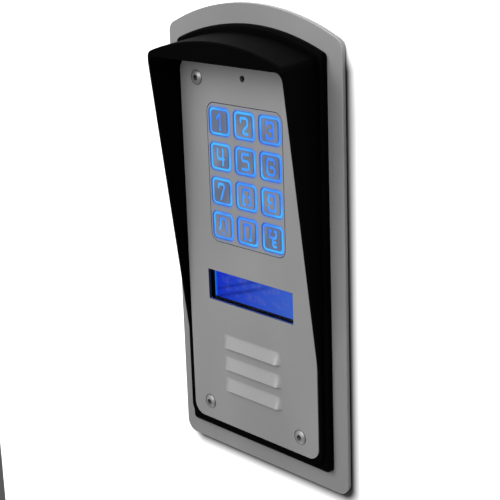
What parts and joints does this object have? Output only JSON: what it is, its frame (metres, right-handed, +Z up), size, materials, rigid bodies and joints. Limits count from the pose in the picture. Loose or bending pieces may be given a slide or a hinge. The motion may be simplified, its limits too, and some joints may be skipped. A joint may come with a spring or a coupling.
{
  "type": "door intercom panel",
  "caption": "Flush-mounted door intercom panel with backlit keypad, blue display, louvred speaker and a black rain hood on an arched metal trim plate.",
  "frame": {"origin": "on the rear face of the trim plate, midway between its four wall-fixing holes, 1 mm in front of the wall face y = 0", "axes": "+Z up, +X to the right of a person facing the panel, +Y into the wall"},
  "size_m": [0.1264, 0.0735, 0.2448],
  "materials": {
    "trim_steel": "brushed along its length, satin",
    "panel_steel": "fine brushed, satin",
    "key_steel": "fine brushed, satin",
    "screw_steel": "polished stainless steel",
    "plated_steel": "zinc plated",
    "black_steel": "black paint, satin",
    "brass": "turned",
    "hood_plastic": "moulded, fine matt texture",
    "black_plastic": "moulded",
    "box_plastic": "moulded, matt",
    "relay_case": "gloss",
    "terminal_plastic": "semi-gloss",
    "circuit_board": "green solder mask",
    "light_guide": "translucent",
    "led_lens": "clear",
    "silicone": "translucent silicone",
    "foam_rubber": "closed-cell foam",
    "soft_rubber": "moulded, matt",
    "felt": "thin acoustic felt",
    "speaker_paper": "pressed paper",
    "ferrite": "sintered, dark",
    "aluminium_can": "drawn can",
    "key_glow": "translucent, lit from behind",
    "display_cell": "blue negative display, lit",
    "clear_pane": "clear polycarbonate"
  },
  "bodies": {
    "panel": {"back_plate": "trim_steel", "trim_gaskets": "foam_rubber", "hood": "hood_plastic", "front_plate": "panel_steel", "plate_gasket": "foam_rubber", "front_screws": "screw_steel", "keypad_plate": "key_steel", "keypad_housing": "black_plastic", "keymat": "silicone", "keypad_leds": "led_lens", "keypad_pcb": "circuit_board", "window_gasket": "foam_rubber", "lcd_window": "clear_pane", "lcd_bezel": "black_steel", "lcd_glass": "display_cell", "lcd_backlight": "light_guide", "lcd_pcb": "circuit_board", "dust_screen": "felt", "speaker_frame": "black_steel", "speaker_cone": "speaker_paper", "speaker_magnet": "ferrite", "speaker_yoke": "plated_steel", "microphone_boot": "soft_rubber", "microphone_capsule": "aluminium_can", "weld_studs": "plated_steel", "standoffs": "brass", "stud_nuts": "plated_steel", "main_pcb": "circuit_board", "board_chips": "black_plastic", "board_headers": "black_plastic", "door_relay": "relay_case", "capacitors": "aluminium_can", "terminal_blocks": "terminal_plastic", "flush_box": "box_plastic", "boss_inserts": "brass", "cable_grommet": "soft_rubber"},
    "key_1": {"key_cap_1": "key_steel", "key_light_1": "key_glow"},
    "key_2": {"key_cap_2": "key_steel", "key_light_2": "key_glow"},
    "key_3": {"key_cap_3": "key_steel", "key_light_3": "key_glow"},
    "key_4": {"key_cap_4": "key_steel", "key_light_4": "key_glow"},
    "key_5": {"key_cap_5": "key_steel", "key_light_5": "key_glow"},
    "key_6": {"key_cap_6": "key_steel", "key_light_6": "key_glow"},
    "key_7": {"key_cap_7": "key_steel", "key_light_7": "key_glow"},
    "key_8": {"key_cap_8": "key_steel", "key_light_8": "key_glow"},
    "key_9": {"key_cap_9": "key_steel", "key_light_9": "key_glow"},
    "key_bell": {"key_cap_bell": "key_steel", "key_light_bell": "key_glow"},
    "key_0": {"key_cap_0": "key_steel", "key_light_0": "key_glow"},
    "key_unlock": {"key_cap_unlock": "key_steel", "key_light_unlock": "key_glow"}
  },
  "joints": [
    {"name": "key_1_press", "type": "slide", "parent": "panel", "child": "key_1", "axis": [0, 1, 0], "range_m": [0, 0.0008], "stiffness_N_per_m": 600, "springref_m": -0.001, "deforming": ["keymat"]},
    {"name": "key_2_press", "type": "slide", "parent": "panel", "child": "key_2", "axis": [0, 1, 0], "range_m": [0, 0.0008], "stiffness_N_per_m": 600, "springref_m": -0.001, "deforming": ["keymat"]},
    {"name": "key_3_press", "type": "slide", "parent": "panel", "child": "key_3", "axis": [0, 1, 0], "range_m": [0, 0.0008], "stiffness_N_per_m": 600, "springref_m": -0.001, "deforming": ["keymat"]},
    {"name": "key_4_press", "type": "slide", "parent": "panel", "child": "key_4", "axis": [0, 1, 0], "range_m": [0, 0.0008], "stiffness_N_per_m": 600, "springref_m": -0.001, "deforming": ["keymat"]},
    {"name": "key_5_press", "type": "slide", "parent": "panel", "child": "key_5", "axis": [0, 1, 0], "range_m": [0, 0.0008], "stiffness_N_per_m": 600, "springref_m": -0.001, "deforming": ["keymat"]},
    {"name": "key_6_press", "type": "slide", "parent": "panel", "child": "key_6", "axis": [0, 1, 0], "range_m": [0, 0.0008], "stiffness_N_per_m": 600, "springref_m": -0.001, "deforming": ["keymat"]},
    {"name": "key_7_press", "type": "slide", "parent": "panel", "child": "key_7", "axis": [0, 1, 0], "range_m": [0, 0.0008], "stiffness_N_per_m": 600, "springref_m": -0.001, "deforming": ["keymat"]},
    {"name": "key_8_press", "type": "slide", "parent": "panel", "child": "key_8", "axis": [0, 1, 0], "range_m": [0, 0.0008], "stiffness_N_per_m": 600, "springref_m": -0.001, "deforming": ["keymat"]},
    {"name": "key_9_press", "type": "slide", "parent": "panel", "child": "key_9", "axis": [0, 1, 0], "range_m": [0, 0.0008], "stiffness_N_per_m": 600, "springref_m": -0.001, "deforming": ["keymat"]},
    {"name": "key_bell_press", "type": "slide", "parent": "panel", "child": "key_bell", "axis": [0, 1, 0], "range_m": [0, 0.0008], "stiffness_N_per_m": 600, "springref_m": -0.001, "deforming": ["keymat"]},
    {"name": "key_0_press", "type": "slide", "parent": "panel", "child": "key_0", "axis": [0, 1, 0], "range_m": [0, 0.0008], "stiffness_N_per_m": 600, "springref_m": -0.001, "deforming": ["keymat"]},
    {"name": "key_unlock_press", "type": "slide", "parent": "panel", "child": "key_unlock", "axis": [0, 1, 0], "range_m": [0, 0.0008], "stiffness_N_per_m": 600, "springref_m": -0.001, "deforming": ["keymat"]}
  ]
}
